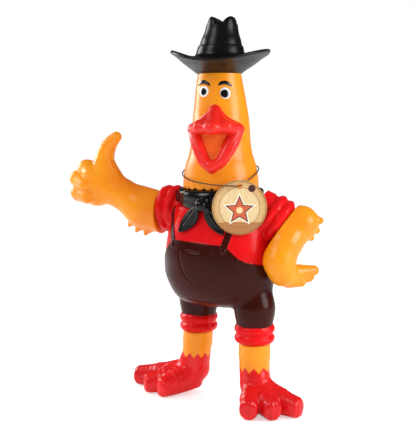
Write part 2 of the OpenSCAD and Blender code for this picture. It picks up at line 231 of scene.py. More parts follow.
def curve_through(points, per_span, closed=False):
    """Points on a Catmull-Rom curve through the given points."""
    points = np.asarray(points, float)
    n = len(points)
    spans = n if closed else n - 1
    out = []
    for k in range(spans):
        ids = [k - 1, k, k + 1, k + 2]
        ids = [i % n for i in ids] if closed else [min(max(i, 0), n - 1) for i in ids]
        a, b, c, d = points[ids]
        for t in np.arange(per_span) / per_span:
            bend = (2 * a - 5 * b + 4 * c - d) * t * t + (3 * b - a - 3 * c + d) * t ** 3
            out.append(0.5 * (2 * b + (c - a) * t + bend))
    if not closed:
        out.append(points[-1])
    return np.array(out)


class Along:
    """Coordinates round a straight axis: how far along it, how far out, and the angle."""

    def __init__(self, origin, way):
        self.origin = vec(origin)
        self.way = vec(way) / np.linalg.norm(way)
        across = np.cross(self.way, vec((0, 1, 0)))
        self.across = across / np.linalg.norm(across)
        self.up = np.cross(self.way, self.across)

    def __call__(self, p):
        q = p - self.origin
        a, b = q @ self.across, q @ self.up
        return q @ self.way, np.hypot(a, b), np.arctan2(b, a)


def turn_about_z(p, angle):
    """The points turned about the figure's upright axis."""
    c, s = math.cos(angle), math.sin(angle)
    out = p.copy()
    out[:, 0] = c * p[:, 0] - s * p[:, 1]
    out[:, 1] = s * p[:, 0] + c * p[:, 1]
    return out


# ---- meshes from fields

CELL_CORNERS = np.array([(i, j, k) for i in (0, 1) for j in (0, 1) for k in (0, 1)])
CELL_EDGES = [
    (a, b)
    for a in range(8)
    for b in range(a + 1, 8)
    if abs(CELL_CORNERS[a] - CELL_CORNERS[b]).sum() == 1
]


def sample(field, low, high):
    """The field on a grid, worked out point by point only in blocks near the surface."""
    side = GRID * BLOCK
    blocks = np.ceil((vec(high) - vec(low)) / side).astype(int)
    middles = [low[i] + side * (np.arange(blocks[i]) + 0.5) for i in range(3)]
    centres = vec(np.stack(np.meshgrid(*middles, indexing="ij"), -1).reshape(-1, 3))
    rough = field(centres).reshape(blocks)

    def spread(a):
        return a.repeat(BLOCK, 0).repeat(BLOCK, 1).repeat(BLOCK, 2)

    near = spread(np.abs(rough) < 2.2 * side)
    values = np.where(spread(rough) < 0, vec(-side), vec(side))
    places = np.argwhere(near)
    values[near] = field(vec(low) + vec(GRID) * places.astype(np.float32))
    return values


def net(values, low):
    """Surface-nets vertices and quads for the zero level of a grid of values."""
    inside = values < 0
    shape = np.array(values.shape) - 1
    count = np.zeros(shape, np.int8)
    for i, j, k in CELL_CORNERS:
        count += inside[i : i + shape[0], j : j + shape[1], k : k + shape[2]]
    active = (count > 0) & (count < 8)
    cells = np.argwhere(active)
    number = np.full(shape, -1, np.int32)
    number[active] = np.arange(len(cells))
    corner = [values[tuple((cells + c).T)] for c in CELL_CORNERS]
    total = np.zeros((len(cells), 3), np.float32)
    hits = np.zeros((len(cells), 1), np.float32)
    for a, b in CELL_EDGES:
        va, vb = corner[a], corner[b]
        crosses = (va < 0) != (vb < 0)
        t = np.where(crosses, va / np.where(crosses, va - vb, 1), 0)[:, None]
        point = CELL_CORNERS[a] + t * (CELL_CORNERS[b] - CELL_CORNERS[a])
        total += np.where(crosses[:, None], point, 0)
        hits += crosses[:, None]
    vertices = vec(low) + GRID * (cells + total / hits)
    quads = []
    for axis in range(3):
        side, up = (axis + 1) % 3, (axis + 2) % 3
        ends = [slice(None)] * 3
        starts = [slice(None)] * 3
        starts[axis] = slice(0, -1)
        ends[axis] = slice(1, None)
        edges = np.argwhere(inside[tuple(starts)] != inside[tuple(ends)])
        corners = []
        for back_side, back_up in ((1, 1), (0, 1), (0, 0), (1, 0)):
            cell = edges.copy()
            cell[:, side] -= back_side
            cell[:, up] -= back_up
            corners.append(number[tuple(cell.T)])
        ring = np.stack(corners, 1)
        leaves = inside[tuple(edges.T)]
        quads.append(np.where(leaves[:, None], ring, ring[:, ::-1]))
    return vertices.astype(np.float32), np.concatenate(quads)


def slopes(field, p):
    """The field's gradient at each point."""
    reach = 0.2
    out = np.empty_like(p)
    for axis in range(3):
        offset = np.zeros(3, np.float32)
        offset[axis] = reach
        out[:, axis] = (field(p + offset) - field(p - offset)) / (2 * reach)
    return out


def settle(vertices, quads, field, rounds=3):
    """Evens out the net, and after each round moves its vertices back onto the surface."""
    a = np.concatenate([quads[:, i] for i in range(4)])
    b = np.concatenate([quads[:, (i + 1) % 4] for i in range(4)])
    ends, others = np.concatenate([a, b]), np.concatenate([b, a])
    valence = np.bincount(ends, minlength=len(vertices))[:, None]
    for _ in range(rounds):
        middle = np.stack(
            [np.bincount(ends, vertices[others, i], len(vertices)) for i in range(3)], 1
        )
        vertices = vec(0.5 * vertices + 0.5 * middle / valence)
        slope = slopes(field, vertices)
        steepness = np.maximum((slope * slope).sum(1), 0.2)
        move = np.clip(field(vertices) / steepness, -GRID, GRID)
        vertices = vertices - move[:, None] * slope
    return vertices


def moulding(field, low, high):
    """Vertices and quads of a moulded piece."""
    vertices, quads = net(sample(field, low, high), low)
    return settle(vertices, quads, field), quads


def make_piece(name, vertices, faces, material, marks=None):
    """A smooth-shaded object; marks are named values at its vertices, which its material reads."""
    mesh = bpy.data.meshes.new(name)
    mesh.from_pydata(np.asarray(vertices, float) * MM, [], faces)
    mesh.validate()
    mesh.update()
    mesh.polygons.foreach_set("use_smooth", np.ones(len(mesh.polygons), bool))
    for mark, values in (marks or {}).items():
        attribute = mesh.attributes.new(mark, "FLOAT", "POINT")
        attribute.data.foreach_set("value", np.asarray(values, np.float32))
    mesh.materials.append(material)
    obj = bpy.data.objects.new(name, mesh)
    bpy.context.scene.collection.objects.link(obj)
    return obj


def stand_in(piece, body, node):
    """Puts a piece on a body in place of a CAD node, which it hides."""
    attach(piece, body)
    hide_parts(node)


def all_round(count):
    """Evenly spaced angles, all the way round."""
    return 2 * np.pi * np.arange(count) / count


def grid_faces(rows, columns, closed=False):
    """Quads over rings of points; closed also joins the last ring to the first."""
    faces = []
    for r in range(rows if closed else rows - 1):
        here, above = r * columns, (r + 1) % rows * columns
        for c in range(columns):
            d = (c + 1) % columns
            faces.append((here + c, here + d, above + d, above + c))
    return faces


def revolve_rows(rows):
    """A closed mesh from stacked rings of points, with a point at each end."""
    rows = [np.asarray(r, float) for r in rows]
    columns = len(rows[0])
    vertices = np.concatenate(rows + [rows[0].mean(0)[None], rows[-1].mean(0)[None]])
    faces = grid_faces(len(rows), columns)
    first_pole, last_pole = len(vertices) - 2, len(vertices) - 1
    top = (len(rows) - 1) * columns
    for c in range(columns):
        d = (c + 1) % columns
        faces.append((first_pole, d, c))
        faces.append((last_pole, top + c, top + d))
    return vertices, faces


def tube(path, radius, sides=12):
    """A round tube along a closed path of points."""
    ahead = np.roll(path, -1, 0) - np.roll(path, 1, 0)
    ahead /= np.linalg.norm(ahead, axis=1)[:, None]
    side = np.cross(ahead, (0.0, 0.0, 1.0))
    side /= np.linalg.norm(side, axis=1)[:, None]
    up = np.cross(side, ahead)
    turn = all_round(sides)
    rings = [
        path[k] + radius * (np.cos(turn)[:, None] * side[k] + np.sin(turn)[:, None] * up[k])
        for k in range(len(path))
    ]
    return np.concatenate(rings), grid_faces(len(rings), sides, closed=True)


# ---- materials


class Shader:
    """Builds one material's nodes. An input is a number, a colour or another node's output."""

    def __init__(self, name):
        self.material = bpy.data.materials.new(name)
        self.material.use_nodes = True
        self.tree = self.material.node_tree
        self.tree.nodes.clear()
        self.principled = self.add("BsdfPrincipled")
        output = self.add("OutputMaterial")
        self.tree.links.new(self.principled.outputs[0], output.inputs[0])

    def add(self, kind, **settings):
        """A new node with these settings."""
        node = self.tree.nodes.new("ShaderNode" + kind)
        for key, value in settings.items():
            setattr(node, key, value)
        return node

    def plug(self, value, socket):
        """Links an output to a socket, or sets the socket to a value."""
        if isinstance(value, bpy.types.NodeSocket):
            self.tree.links.new(value, socket)
        else:
            socket.default_value = value

    def math(self, operation, a, b=0.0, c=0.0, clamp=False):
        """The result of a Math node."""
        node = self.add("Math", operation=operation, use_clamp=clamp)
        for value, socket in zip((a, b, c), node.inputs):
            self.plug(value, socket)
        return node.outputs[0]

    def mark(self, name):
        """A piece's named vertex values."""
        return self.add("Attribute", attribute_name=name).outputs["Fac"]

    def within(self, distance, soft=0.25):
        """1 where a distance is negative, 0 where it is positive, with a soft edge in mm."""
        return self.math("MULTIPLY_ADD", distance, -1 / soft, 0.5, clamp=True)

    def noise(self, scale, detail=2.0, roughness=0.5, stretch=None):
        """Noise in the piece's own space, in cycles per metre."""
        place = self.add("TexCoord").outputs["Object"]
        if stretch:
            mapping = self.add("Mapping")
            mapping.inputs["Scale"].default_value = stretch
            self.plug(place, mapping.inputs["Vector"])
            place = mapping.outputs[0]
        node = self.add("TexNoise")
        self.plug(place, node.inputs["Vector"])
        node.inputs["Scale"].default_value = scale
        node.inputs["Detail"].default_value = detail
        node.inputs["Roughness"].default_value = roughness
        return node.outputs["Fac"]

    def mix(self, share, a, b):
        """From colour a to colour b; a Mix node's colours are its inputs 6 and 7 and output 2."""
        node = self.add("Mix", data_type="RGBA")
        self.plug(share, node.inputs[0])
        self.plug(a, node.inputs[6])
        self.plug(b, node.inputs[7])
        return node.outputs[2]

    def ramp(self, value, low, high):
        """A noise's usual run, from 0.3 to 0.7, as a number from low to high."""
        node = self.add("MapRange")
        for k, setting in enumerate((value, 0.3, 0.7, low, high)):
            self.plug(setting, node.inputs[k])
        return node.outputs[0]

    def tone(self, value, pair):
        """A colour that a noise moves between the two of a pair."""
        return self.mix(self.ramp(value, 0, 1), *pair)

    def relief(self, height, depth):
        """Bump of a height that runs from 0 to 1 over the depth, in metres."""
        node = self.add("Bump")
        node.inputs["Strength"].default_value = 1.0
        node.inputs["Distance"].default_value = depth
        self.plug(height, node.inputs["Height"])
        self.plug(node.outputs[0], self.principled.inputs["Normal"])

    def set(self, **inputs):
        """Sets the Principled node's inputs by name."""
        for name, value in inputs.items():
            self.plug(value, self.principled.inputs[name.replace("_", " ")])


def colour(code):
    """A linear colour from a six-digit sRGB code."""
    parts = [int(code[i : i + 2], 16) / 255 for i in (0, 2, 4)]
    return tuple(c / 12.92 if c <= 0.04045 else ((c + 0.055) / 1.055) ** 2.4 for c in parts) + (1.0,)


def tones(first, second):
    """The two colours that a mottled surface runs between."""
    return colour(first), colour(second)


YELLOW = tones("FFA20C", "F4880A")
RED = tones("EE1418", "D50F14")
BROWN = tones("42110B", "340E08")
BLACK = tones("141212", "0B0A0A")
BEAK_RED = tones("F42A1C", "E01C16")
# The mouth is the head's own vinyl; its deeper orange is painted shade in the recess between the lips.
MOUTH_SHADE_ORANGE = tones("FF761C", "F86414")


def vinyl(name, base, regions=(), gloss=0.3, glow=0.12, glow_tint=(1.0, 0.35, 0.1), shine=0.36):
    """Moulded soft vinyl. Its regions are (mark, tones) pairs, painted over its base in turn.

    Gloss is its roughness, glow how much light passes through it, and shine its specular level.
    """
    shader = Shader(name)
    patches = shader.noise(28, 3)
    skin = shader.tone(patches, base)
    for mark, paint in regions:
        skin = shader.mix(shader.within(shader.mark(mark)), skin, shader.tone(patches, paint))
    smears = shader.noise(75, 4, 0.6)
    shader.set(
        Base_Color=skin,
        Roughness=shader.ramp(smears, gloss - 0.05, gloss + 0.08),
        Coat_Weight=0.06,
        Coat_Roughness=0.12,
        Specular_IOR_Level=shine,
        Subsurface_Weight=glow,
        Subsurface_Radius=glow_tint,
        Subsurface_Scale=0.004,
        IOR=1.5,
    )
    shader.relief(shader.noise(650, 2), 0.00006)
    return shader.material


def plain_paint(name, paint, gloss):
    """Glossy paint laid on the vinyl by hand."""
    shader = Shader(name)
    shader.set(
        Base_Color=shader.tone(shader.noise(180, 3), paint),
        Roughness=shader.ramp(shader.noise(400, 2), gloss - 0.03, gloss + 0.05),
        Coat_Weight=0.5,
        Coat_Roughness=0.06,
    )
    shader.relief(shader.noise(500, 2), 0.00004)
    return shader.material


# ---- torso

TORSO_TABLE = curve_through(TORSO_SECTIONS, 6).astype(np.float32)
BELT_R = 38.0  # turns an angle round the torso into a length on it


def torso_wall(p):
    """The torso without its limbs."""
    x, y, z = p.T
    rx = np.interp(z, TORSO_TABLE[:, 0], TORSO_TABLE[:, 1]).astype(np.float32)
    ry = np.interp(z, TORSO_TABLE[:, 0], TORSO_TABLE[:, 2]).astype(np.float32)
    share = (np.abs(x) / rx) ** TORSO_POWER + (np.abs(y) / ry) ** TORSO_POWER
    share = np.maximum(share, 1e-4) ** (1 / TORSO_POWER)
    out = np.hypot(x, y)
    side = 0.93 * (out - out / share)
    return both(both(side, z - NECK_SEAT_Z, 5), 79 - z, 8)


# The overalls' upper edge: degrees round the body from the front, and height.
OVERALLS_EDGE = [
    (-180, 128), (-150, 127), (-125, 116), (-95, 114.5), (-75, 117), (-62, 122.5), (-52, 130),
    (-46, 133.3), (-40, 133.3), (-13, 132.7), (20, 131.2), (26, 130.6), (30, 128.5),
    (40, 121.8), (49, 118.4), (68, 115.3), (95, 113.5), (125, 116), (150, 127), (180, 128),
]
# Each strap goes from the bib over the shoulder to the back of the overalls.
RIGHT_STRAP = [(-45, 131), (-52, 140), (-60, 150), (-70, 160), (-100, 168), (-140, 158), (-156, 126)]
LEFT_STRAP = [(24.5, 129), (32, 141), (42, 155), (55, 162), (100, 168), (140, 158), (156, 126)]
STRAP_HALF = 2.6
PANTS_RAISE = 0.7  # how far the overalls stand out from the shirt
BACK_POCKET = [(172, 118), (168, 104), (150, 100), (132, 104), (130, 117), (150, 118.5), (172, 118)]
# Lines of stitching on the front, and round a pocket at each side of the back.
SEAMS = [
    [(-32, 123.4), (-31.4, 119), (-29.5, 114.5), (-26, 109), (-21, 104.8), (-14, 102.4)],
    [(-24, 125.7), (-14, 125.4), (-5, 124.9)],
    [(9.7, 124.2), (9.7, 106)],
    [(13.6, 124.2), (13.6, 106)],
    BACK_POCKET,
    [(-angle, height) for angle, height in BACK_POCKET],
]
BUTTONS = [(24.0, 127.4), (-45.5, 130.0)]
BUTTON_R = 2.6
STITCHED_BAR = [(38.9, 117.2), (38.9, 120.8)]


def on_belt(points):
    """Points given by angle and height, as lengths round the body and heights."""
    return [(math.radians(angle) * BELT_R, height) for angle, height in points]


def overalls_mark(p):
    """Distance to the overalls' outline on the torso, negative where they cover it."""
    x, y, z = p.T
    angle = np.degrees(np.arctan2(x, -y))
    edge = np.array(OVERALLS_EDGE)
    top = np.interp(angle, edge[:, 0], edge[:, 1])
    u = np.radians(angle) * BELT_R
    mark = 0.8 * (z - top)
    for strap in (RIGHT_STRAP, LEFT_STRAP):
        mark = np.minimum(mark, polyline_distance(u, z, on_belt(strap)) - STRAP_HALF)
    return mark


def sewing(p):
    """How deep the overalls' seams are pressed, and how far their buttons stand out."""
    x, y, z = p.T
    u = np.arctan2(x, -y) * BELT_R
    depth = np.zeros(len(p), np.float32)
    for seam in SEAMS:
        depth = np.maximum(depth, 0.55 * bump(polyline_distance(u, z, on_belt(seam)), 0.75))
    raised = polyline_distance(u, z, on_belt(STITCHED_BAR))
    depth = depth - 0.9 * bump(raised, 0.7)
    for at_u, at_z in on_belt(BUTTONS):
        apart = np.hypot(u - at_u, z - at_z)
        depth = depth - 1.1 * (1 - step_up(apart, BUTTON_R - 1.0, BUTTON_R))
    return depth


SLEEVES = [
    (Along(RIGHT_SLEEVE_AT, RIGHT_SLEEVE_WAY), 0.0),
    (Along(LEFT_SLEEVE_AT, LEFT_SLEEVE_WAY), 1.9),
]


def sleeve(p, axis, seed):
    """A short sleeve with two rolled folds and the creases that run between them."""
    along, out, angle = axis(p)
    crease = 0.35 * np.sin(5 * angle + 0.55 * along + seed)
    crease += 0.3 * np.sin(8 * angle - 0.8 * along + 2.0 * seed + 1.0)
    tube_wall = both(out - SLEEVE_R - 0.6 * crease, along - SLEEVE_LEN + 2.5, 2)
    field = both(tube_wall, -4 - along)
    for back, size in ((ROLL_R, ROLL_R), (2.8 * ROLL_R, ROLL_R + 0.2)):
        waver = 0.7 * np.sin(2 * angle + seed + back) + 0.35 * np.sin(5 * angle + 3 * seed)
        centre = SLEEVE_LEN - back - 0.4 + 0.5 * waver
        ring = np.hypot(out - (SLEEVE_R + 3.1 - size), along - centre) - size - 0.5 * crease
        field = join(field, ring, 1.0)
    return field


def trouser_leg(p, at):
    """A trouser leg that ends in a rolled cuff."""
    x, y = at
    hip = (0.9 * x, 0.5 * y, 100, 14.5)
    leg = limb(p, [(x, y, 62, TROUSER_R - 0.7), (x, y, 80, TROUSER_R + 0.1), hip], 6)
    return both(leg, 58 - p[:, 2], 1)


def cuff(p, at, seed):
    """Two soft rolls of cloth round the end of a trouser leg."""
    along, out, angle = Along((at[0], at[1], CUFF_Z), (0, 0, 1))(p)
    field = both(out - TROUSER_R + 2, np.abs(along - 6) - 4, 1)
    for height, size in ((ROLL_R, ROLL_R - 0.2), (2.8 * ROLL_R, ROLL_R)):
        waver = 0.45 * np.sin(2 * angle + seed + height) + 0.3 * np.sin(5 * angle + 2 * seed)
        centre = height + 0.5 * waver
        ring = np.hypot(out - (TROUSER_R + 1.1 - size), along - centre) - size - 0.4 * waver
        field = join(field, ring, 1.2)
    return field


LEGS = [(RIGHT_LEG_AT, 0.4), (LEFT_LEG_AT, 2.3)]


def sleeves_field(p):
    """Both sleeves."""
    return join(sleeve(p, *SLEEVES[0]), sleeve(p, *SLEEVES[1]))


def cuffs_field(p):
    """Both cuffs."""
    return join(cuff(p, *LEGS[0]), cuff(p, *LEGS[1]))


def torso_field(p):
    """The clothed body, with sockets for the limbs and a seat for the squawker."""
    y, z = p[:, 1], p[:, 2]
    wall = torso_wall(p)
    near = np.abs(wall) < 6  # the sewing only shows this near the wall
    if near.any():
        q = p[near]
        worn = step_up(-overalls_mark(q), -0.45, 0.45)
        wall[near] -= PANTS_RAISE * worn
        wall[near] += sewing(q)
    for at, _ in LEGS:
        wall = join(wall, trouser_leg(p, at), 5)
    seat = np.hypot(p[:, 0], z - SQUAWKER_Z)
    boss = both(seat - SQUAWKER_BOSS_R, np.abs(y - SQUAWKER_FACE_Y + 8) - 7.9, 1)
    wall = join(wall, boss, 2)
    field = join(join(wall, sleeves_field(p), 2.5), cuffs_field(p), 0.8)
    field = both(field, -both(seat - SQUAWKER_BORE_R, 21 - y), 0.5)
    for axis, _ in SLEEVES:
        along, out, _ = axis(p)
        bore = both(out - ARM_PLUG_R - PLUG_ROOM, SLEEVE_LEN - 10 - along)
        field = both(field, -both(bore, along - SLEEVE_LEN - 3), 0.3)
    for at, _ in LEGS:
        out = np.hypot(p[:, 0] - at[0], y - at[1])
        field = both(field, -both(out - LEG_PLUG_R - PLUG_ROOM, np.abs(z - 52) - 10.5), 0.3)
    # Room for the neckerchief's band over the top of the sleeves.
    out = np.hypot(p[:, 0], y)
    return both(field, -both(out - BAND_R - 0.3, BAND_Z - 0.3 - z), 0.3)


def torso_marks(p):
    """Signed distances to the edges of the torso's painted regions."""
    wall = torso_wall(p)
    overalls = np.maximum(overalls_mark(p), wall - sleeves_field(p) - 0.4)
    cuffs = cuffs_field(p) - 0.3
    return {"overalls": overalls, "cuffs": np.where(p[:, 2] > 72, 5, cuffs)}


# The belly's cap is the part of the torso that bulges forwards past BELLY_START mm, between
# BELLY_LOW_Z and BELLY_TOP_Z.
BELLY_WAY = vec((0, -0.97, -0.24))
BELLY_START = 2.0
BELLY_LOW_Z = 84.0
BELLY_TOP_Z = 140.0


def whole_normals(vertices, quads, material):
    """The shading normals at the vertices of a moulding that is still in one piece."""
    whole = make_piece("torso_whole", vertices, quads, material)
    normals = np.empty(len(vertices) * 3, np.float32)
    whole.data.vertex_normals.foreach_get("vector", normals)
    bpy.data.objects.remove(whole)
    return normals.reshape(-1, 3)


def make_torso():
    """One moulding, cut into the torso's skin and the belly's, with shading that runs across."""
    material = vinyl(
        "torso_vinyl", RED, [("overalls", BROWN), ("cuffs", RED)],
        gloss=0.26, glow=0.06, glow_tint=(1.0, 0.1, 0.05), shine=0.12,
    )
    vertices, quads = moulding(torso_field, (-56, -46, 48), (60, 44, 178))
    marks = torso_marks(vertices)
    height = vertices[:, 2]
    bulge = (vertices @ BELLY_WAY > BELLY_START) & (height > BELLY_LOW_Z) & (height < BELLY_TOP_Z)
    in_cap = bulge[quads].all(1)
    normals = whole_normals(vertices, quads, material)
    pieces = []
    for name, faces in (("torso_skin", quads[~in_cap]), ("belly_skin", quads[in_cap])):
        used, new_faces = np.unique(faces, return_inverse=True)
        piece = make_piece(
            name, vertices[used], new_faces.reshape(-1, 4), material,
            {mark: values[used] for mark, values in marks.items()},
        )
        piece.data.normals_split_custom_set_from_vertices(normals[used])
        pieces.append(piece)
    torso_skin, belly_skin = pieces
    stand_in(torso_skin, "torso", "torso_shell")
    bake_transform(belly_skin)
    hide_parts("belly_panel")


# ---- neckerchief

# The knot's main roll, and the end of cloth beside it, as (x, y, z, radius) balls.
KNOT_ROLL = (-2.1, -34.4, 161.0, 4.9)
KNOT_END = [(3.1, -32.6, 162.8, 3.0), (1.9, -34.0, 159.0, 3.3)]
# Each tail: where it leaves the knot, its tip, and half its width.
TAILS = [
    ((-4.5, -34.4, 159.5), (-21.8, -30.9, 139.3), 6.2),
    ((0.5, -34.2, 159.0), (15.0, -31.8, 138.8), 5.5),
]


def tail(p, root, tip, half_width):
    """A leaf-shaped tail of cloth with a folded vein and a raised rim."""
    root, tip = vec(root), vec(tip)
    way = tip - root
    length = np.linalg.norm(way)
    way = way / length
    middle = (root + tip) / 2
    outward = vec((middle[0], middle[1], 0))
    outward = outward - way * (outward @ way)
    outward /= np.linalg.norm(outward)
    across = np.cross(outward, way)
    q = p - root
    s, t, h = q @ way, q @ across, q @ outward
    share = np.clip(s / length, 0, 1)
    leaf = half_width * np.clip(np.sin(np.pi * share ** 0.9), 0, 1) ** 0.8
    h = h + 0.05 * t * t - 0.4 * np.sin(np.pi * share)
    rim = 0.75 * bump(np.abs(t) - leaf + 1.1, 0.6)
    vein = 0.9 * bump(t - 0.4 * np.sin(3 * share), 0.5) * (1 - 0.7 * share)
    fold = 0.3 * bump(np.abs(t - 0.2) - 0.5 * leaf, 0.5)
    sheet = np.abs(h) - 1.1 - rim - vein - fold
    outline = np.maximum(np.abs(t) - leaf, np.maximum(-s - 1, s - length))
    return both(0.8 * outline, sheet, 1.2)


def neckerchief_field(p):
    """A gathered band of cloth, its knot and its two tails."""
    x, y, z = p.T
    out = np.hypot(x, y)
    angle = np.arctan2(x, -y)
    front = bump(angle + 0.22, 0.75)
    low = BAND_Z + 0.6 - 5.0 * front + 0.5 * np.sin(3 * angle)
    high = BAND_TOP_Z + 0.3 * np.sin(4 * angle + 1)
    middle = (low + high) / 2
    # Folds of cloth that gather towards the knot.
    gather = np.sin(0.62 * (z - middle) + 1.6 * np.sin(1.5 * angle))
    bulge = 33.5 + 0.6 * front + 0.3 * gather
    rounding = 0.035 * (z - middle) ** 2
    band = both(out - bulge + rounding, both(low - z, z - high, 1), 2)
    band = both(band, BAND_INNER_R - out, 1)
    # The knot is two rolls of cloth, side by side.
    knot = join(ball(p, KNOT_ROLL[:3], KNOT_ROLL[3]), limb(p, KNOT_END), 0.7)
    field = join(band, knot, 1.2)
    for root, tip, half_width in TAILS:
        field = join(field, tail(p, root, tip, half_width), 0.8)
    return field


def make_neckerchief():
    """The neckerchief, in glossy black."""
    material = vinyl("neckerchief_vinyl", BLACK, gloss=0.18, glow=0.0, shine=0.3)
    vertices, quads = moulding(neckerchief_field, (-38, -44, 134), (38, 38, 176))
    piece = make_piece("neckerchief_cloth", vertices, quads, material)
    stand_in(piece, "torso", "neckerchief")


# ---- head

HEAD_TABLE = curve_through(NECK_OUTLINE, 6).astype(np.float32)
HEM_LAYER = 0.6  # how far the feathers stand out from the neck
HEM_Z = 171.9
HEM_NOTCH = 1.6
HEM_FEATHERS = 24


def head_radius(z):
    """The radius of the neck and head at a height."""
    return np.interp(z, HEAD_TABLE[:, 0], HEAD_TABLE[:, 1])


def hem_notch(angle):
    """1 in the notch between two feathers of the hem, 0 on a feather's point."""
    uneven = 0.14 * np.sin(3 * angle + 1) + 0.1 * np.sin(7 * angle)
    phase = HEM_FEATHERS * angle / (2 * np.pi) + uneven
    return bump(phase - np.round(phase), 0.17)


BEAK_WIDE = 17.6
BEAK_MIDDLE = -0.7  # the beak sits a little to the right of the face's middle
NOSE = (-0.7, -31.0, 219.0)
BRIDGE = (-0.3, -20.0, 231.6)
CHIN = (-1.0, -29.2, 189.6)


def beak_field(p):
    """The open beak: a tent-shaped upper half and a pointed lip under the mouth."""
    upper, lips = bar(p, BRIDGE, 2.2, NOSE, 4.0), None
    for side in (-1, 1):
        corner = (side * BEAK_WIDE + BEAK_MIDDLE, -15.2, 217.6)
        cheek = (side * 10.0 + BEAK_MIDDLE, -25.5, 219.4)
        edge = limb(p, [(*NOSE, 4.4), (*cheek, 4.7), (*corner, 4.2)], 3)
        upper = join(upper, join(panel(p, BRIDGE, NOSE, cheek, 2.6), edge, 3), 3)
        upper = join(upper, panel(p, BRIDGE, cheek, corner, 2.6), 3)
        bend = [
            (*corner, 4.2), (side * 13.2 + BEAK_MIDDLE, -21.5, 206.8, 5.2 + 0.5 * side),
            (side * 6.8 + BEAK_MIDDLE, -27.3, 194.2, 4.4), (*CHIN, 4.0),
        ]
        lip = limb(p, curve_through(bend, 4), 0)
        lips = lip if lips is None else join(lips, lip, 3)
    # Nostrils, and one shallow crease along each lip.
    for side in (-1, 1):
        dent = ball(p, (side * 6.5 + BEAK_MIDDLE, -31.2, 222.4), 0)
        upper = upper + 0.7 * bump(dent, 1.8)
    across = np.abs(p[:, 0] - BEAK_MIDDLE)
    lips = lips + 0.35 * bump(across - 0.52 * (p[:, 2] - 187.5) - 5.2, 0.7)
    return join(upper, lips, 0.8)


def face_lean(z):
    """How far the upper face leans to the figure's right."""
    return -1.1 * step_up(z, 224, 262)


def head_field(p):
    """The head and neck with the beak, over the thinner layer under the feathered hem."""
    q = turn_about_z(p, -HEAD_TURN)
    x, y, z = q.T
    out = np.hypot(x - face_lean(z), y)
    angle = np.arctan2(x, -y)
    notch = hem_notch(angle)
    hem = HEM_Z + HEM_NOTCH * notch
    layer = HEM_LAYER * step_up(z - hem, -0.3, 0.3)
    layer -= 0.5 * notch * (1 - step_up(z - HEM_Z, 2, 9))
    neck = out - head_radius(z) - layer + 0.35 * (1 - step_up(z - hem, -0.3, 0.3))
    neck = both(both(neck, z - HAT_Z - 0.5, 1), NECK_SEAT_Z + 0.6 - z, 1)
    return join(neck, beak_field(q), 1.0)


def head_marks(p):
    """Signed distances to the edges of the head's painted regions."""
    q = turn_about_z(p, -HEAD_TURN)
    x, y, z = q.T
    notch = hem_notch(np.arctan2(x, -y))
    # The mouth between the lips, which takes the painted shade of its recess.
    mouth = np.maximum(np.abs(x + 1) - 0.52 * (z - 188), np.maximum(z - 216, y))
    return {
        "beak": beak_field(q) - 0.55,
        "mouth": mouth,
        "under_hem": z - HEM_Z - HEM_NOTCH * notch + 0.1,
    }


def make_head():
    """The head, with its beak and hem painted, and painted shade in its mouth."""
    material = vinyl(
        "head_vinyl", YELLOW,
        [("mouth", MOUTH_SHADE_ORANGE), ("beak", BEAK_RED), ("under_hem", BLACK)],
        gloss=0.3, glow=0.15,
    )
    vertices, quads = moulding(head_field, (-32, -40, 158), (32, 32, 265))
    piece = make_piece("head_skin", vertices, quads, material, head_marks(vertices))
    stand_in(piece, "head", "head_shell")


def face_dome(
    name, angle, height, half_width, half_height, rise, material,
    arch=0.0, tilt=0.0, base=0.0, blunt=1.0,
):
    """A low relief on the face; it bends up in the middle by arch. Under 1, blunt squares its ends."""
    rings = 9
    turn = all_round(40)
    rows = []
    for k in range(rings):
        share = 1 - k / rings
        u = half_width * share * np.sign(np.cos(turn)) * np.abs(np.cos(turn)) ** blunt
        v = half_height * share * np.sign(np.sin(turn)) * np.abs(np.sin(turn)) ** blunt
        v = v + arch * (1 - (u / half_width) ** 2) + tilt * u
        z = height + v
        lift = HEM_LAYER - 0.25 + base + rise * math.sqrt(1 - share ** 2)
        r = head_radius(z) + lift
        a = math.radians(angle) + u / head_radius(height) + HEAD_TURN
        lean = face_lean(z)
        x = r * np.sin(a) + lean * math.cos(HEAD_TURN)
        y = -r * np.cos(a) + lean * math.sin(HEAD_TURN)
        rows.append(np.stack([x, y, z], 1))
    vertices, faces = revolve_rows(rows)
    # The first pole closes the back, inside the head.
    vertices[-2] *= (0.93, 0.93, 1)
    piece = make_piece(name, vertices, faces, material)
    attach(piece, "head")
    return piece


# Degrees from the face's middle, height, half width and half height.
EYES = {"right": (-29.0, 246.1, 4.7, 4.5), "left": (24.0, 244.8, 4.2, 4.7)}
PUPILS = {"right": (-28.6, 245.9, 2.9, 2.75), "left": (22.3, 244.3, 3.1, 3.1)}
BROWS = {"right": (-32.0, 250.3, 6.8, 1.6), "left": (25.0, 250.2, 5.6, 1.6)}
# How far each brow's middle is bent up, and how it slopes.
BROW_BENDS = {"right": (2.9, 0.0), "left": (2.4, -0.08)}


def make_face():
    """Raised, painted eyes and brows, the pupils on top of the whites."""
    white = plain_paint("eye_white_paint", tones("FBFBFA", "ECEDEF"), 0.2)
    black = plain_paint("pupil_paint", tones("120A08", "070505"), 0.15)
    for side, place in EYES.items():
        eye = face_dome(f"{side}_eye_white", *place, 0.9, white)
    for side, place in PUPILS.items():
        pupil = face_dome(f"{side}_pupil", *place, 0.45, black, base=0.8)
    for side, place in BROWS.items():
        arch, tilt = BROW_BENDS[side]
        brow = face_dome(f"{side}_brow", *place, 1.0, black, arch=arch, tilt=tilt, blunt=0.7)


# ---- hat

HAT_COLUMNS = 144
CREASE_HALF = 7.6


def crown_drop(x, y):
    """How far the crown's top lies below its highest point."""
    deep = 4.0 + 3.8 * step_up(-y, -2, 10)
    valley = deep * np.maximum(1 - np.abs(x) / CREASE_HALF, 0) ** 1.7
    shoulder = 0.3 * np.maximum(np.abs(x) - CREASE_HALF, 0) ** 2
    return valley + shoulder


